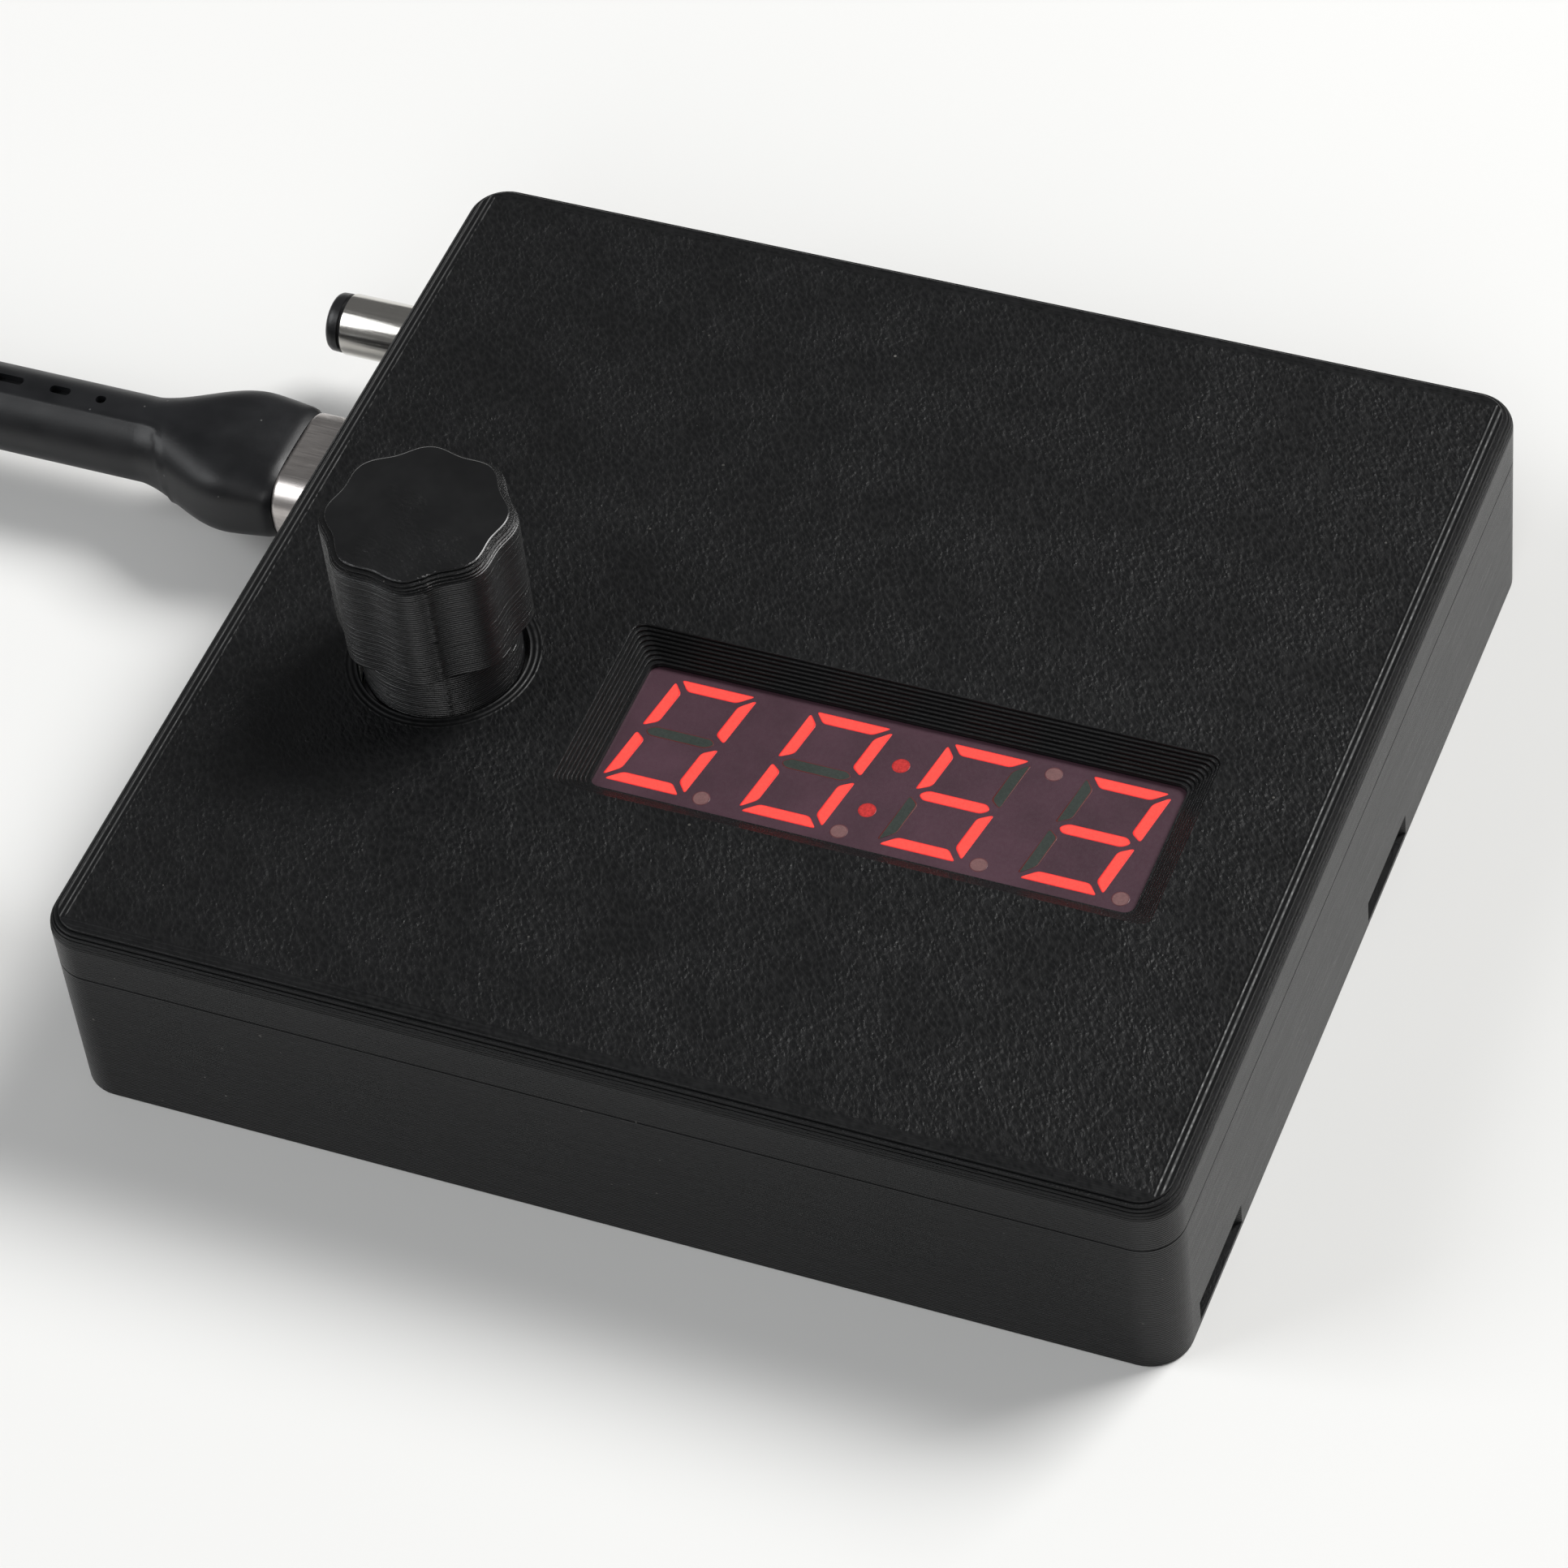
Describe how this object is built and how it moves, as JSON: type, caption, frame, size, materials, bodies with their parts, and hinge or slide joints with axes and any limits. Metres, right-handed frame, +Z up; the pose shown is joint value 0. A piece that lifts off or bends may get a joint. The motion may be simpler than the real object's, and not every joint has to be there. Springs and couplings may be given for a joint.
{
  "type": "kitchen timer",
  "caption": "Flat square countertop timer with a bevelled window over a digit display, a fluted push-and-turn knob, a small barrel connector and a plugged-in power cable.",
  "frame": {"origin": "centre of the case's underside, on the surface that the timer rests on", "axes": "+X to the right along the front edge, +Y from the front to the back, +Z up out of the lid"},
  "size_m": [0.1897, 0.0825, 0.0313],
  "materials": {
    "case_plastic": "printed black plastic with fine layer lines and a pebbled lid",
    "knob_plastic": "printed black plastic with glinting layer lines",
    "display_face": "dark tinted display face",
    "lit_red": "glowing red display segment",
    "dim_red": "dimly glowing red colon dot",
    "dark_segment": "unlit grey segment",
    "dark_dot": "unlit pinkish dot",
    "nickel": "nickel plated, satin",
    "collar_metal": "plain plated shell",
    "gold_contact": "plated spring contact",
    "screw_steel": "zinc plated",
    "brass_insert": "knurled brass",
    "board_green": "solder mask over fibre board",
    "board_blue": "solder mask over fibre board",
    "chip_black": "moulded chip package",
    "tinned": "tinned lead",
    "socket_white": "natural nylon socket",
    "lead_grey": "flat lead insulation",
    "lead_red": "wire insulation",
    "encoder_metal": "pressed and turned alloy",
    "encoder_nylon": "moulded nylon rotor",
    "capacitor_blue": "shrink sleeve",
    "plug_black": "soft moulded plug grip",
    "cable_black": "smooth cable jacket",
    "tongue_white": "plug tongue",
    "tip_black": "insulating tip"
  },
  "bodies": {
    "case": {"lid_shell": "case_plastic", "base_shell": "case_plastic", "case_screws": "screw_steel", "thread_inserts": "brass_insert", "display_housing": "display_face", "lit_segments": "lit_red", "unlit_segments": "dark_segment", "colon_dots": "dim_red", "unlit_dots": "dark_dot", "display_pins": "tinned", "display_board": "board_green", "driver_chip": "chip_black", "driver_chip_leads": "tinned", "display_socket": "socket_white", "board_screws": "screw_steel", "encoder_base": "chip_black", "encoder_cover": "encoder_metal", "switch_dome": "nickel", "encoder_pins": "tinned", "encoder_board": "board_blue", "encoder_socket": "socket_white", "main_board": "board_green", "microcontroller": "chip_black", "controller_leads": "tinned", "crystal": "encoder_metal", "capacitor": "capacitor_blue", "regulator": "chip_black", "chip_resistors": "chip_black", "buzzer": "chip_black", "usb_socket_shell": "collar_metal", "usb_socket_tongue": "chip_black", "main_board_sockets": "socket_white", "display_lead": "lead_grey", "encoder_lead": "lead_grey", "barrel_lead": "lead_red", "barrel_sleeve": "nickel", "barrel_tip": "tip_black", "barrel_contact": "gold_contact", "barrel_body": "chip_black", "plug_nose": "collar_metal", "plug_collar": "collar_metal", "plug_moulding": "plug_black", "cable_run": "cable_black", "cable_coil": "cable_black", "cable_tie": "cable_black", "cable_end": "cable_black", "far_plug_moulding": "plug_black", "far_plug_shell": "collar_metal", "far_plug_tongue": "tongue_white"},
    "rotor": {"encoder_rotor": "encoder_nylon"},
    "knob_shaft": {"encoder_shaft": "encoder_metal", "knob": "knob_plastic"}
  },
  "joints": [
    {"name": "knob_turn", "type": "hinge", "parent": "case", "child": "rotor", "pos_m": [-0.0241, -0.0072, 0.0171], "axis": [0, 0, 1], "continuous": true},
    {"name": "knob_press", "type": "slide", "parent": "rotor", "child": "knob_shaft", "axis": [0, 0, -1], "range_m": [0, 0.0005], "stiffness_N_per_m": 3000, "springref_m": -0.0005}
  ]
}
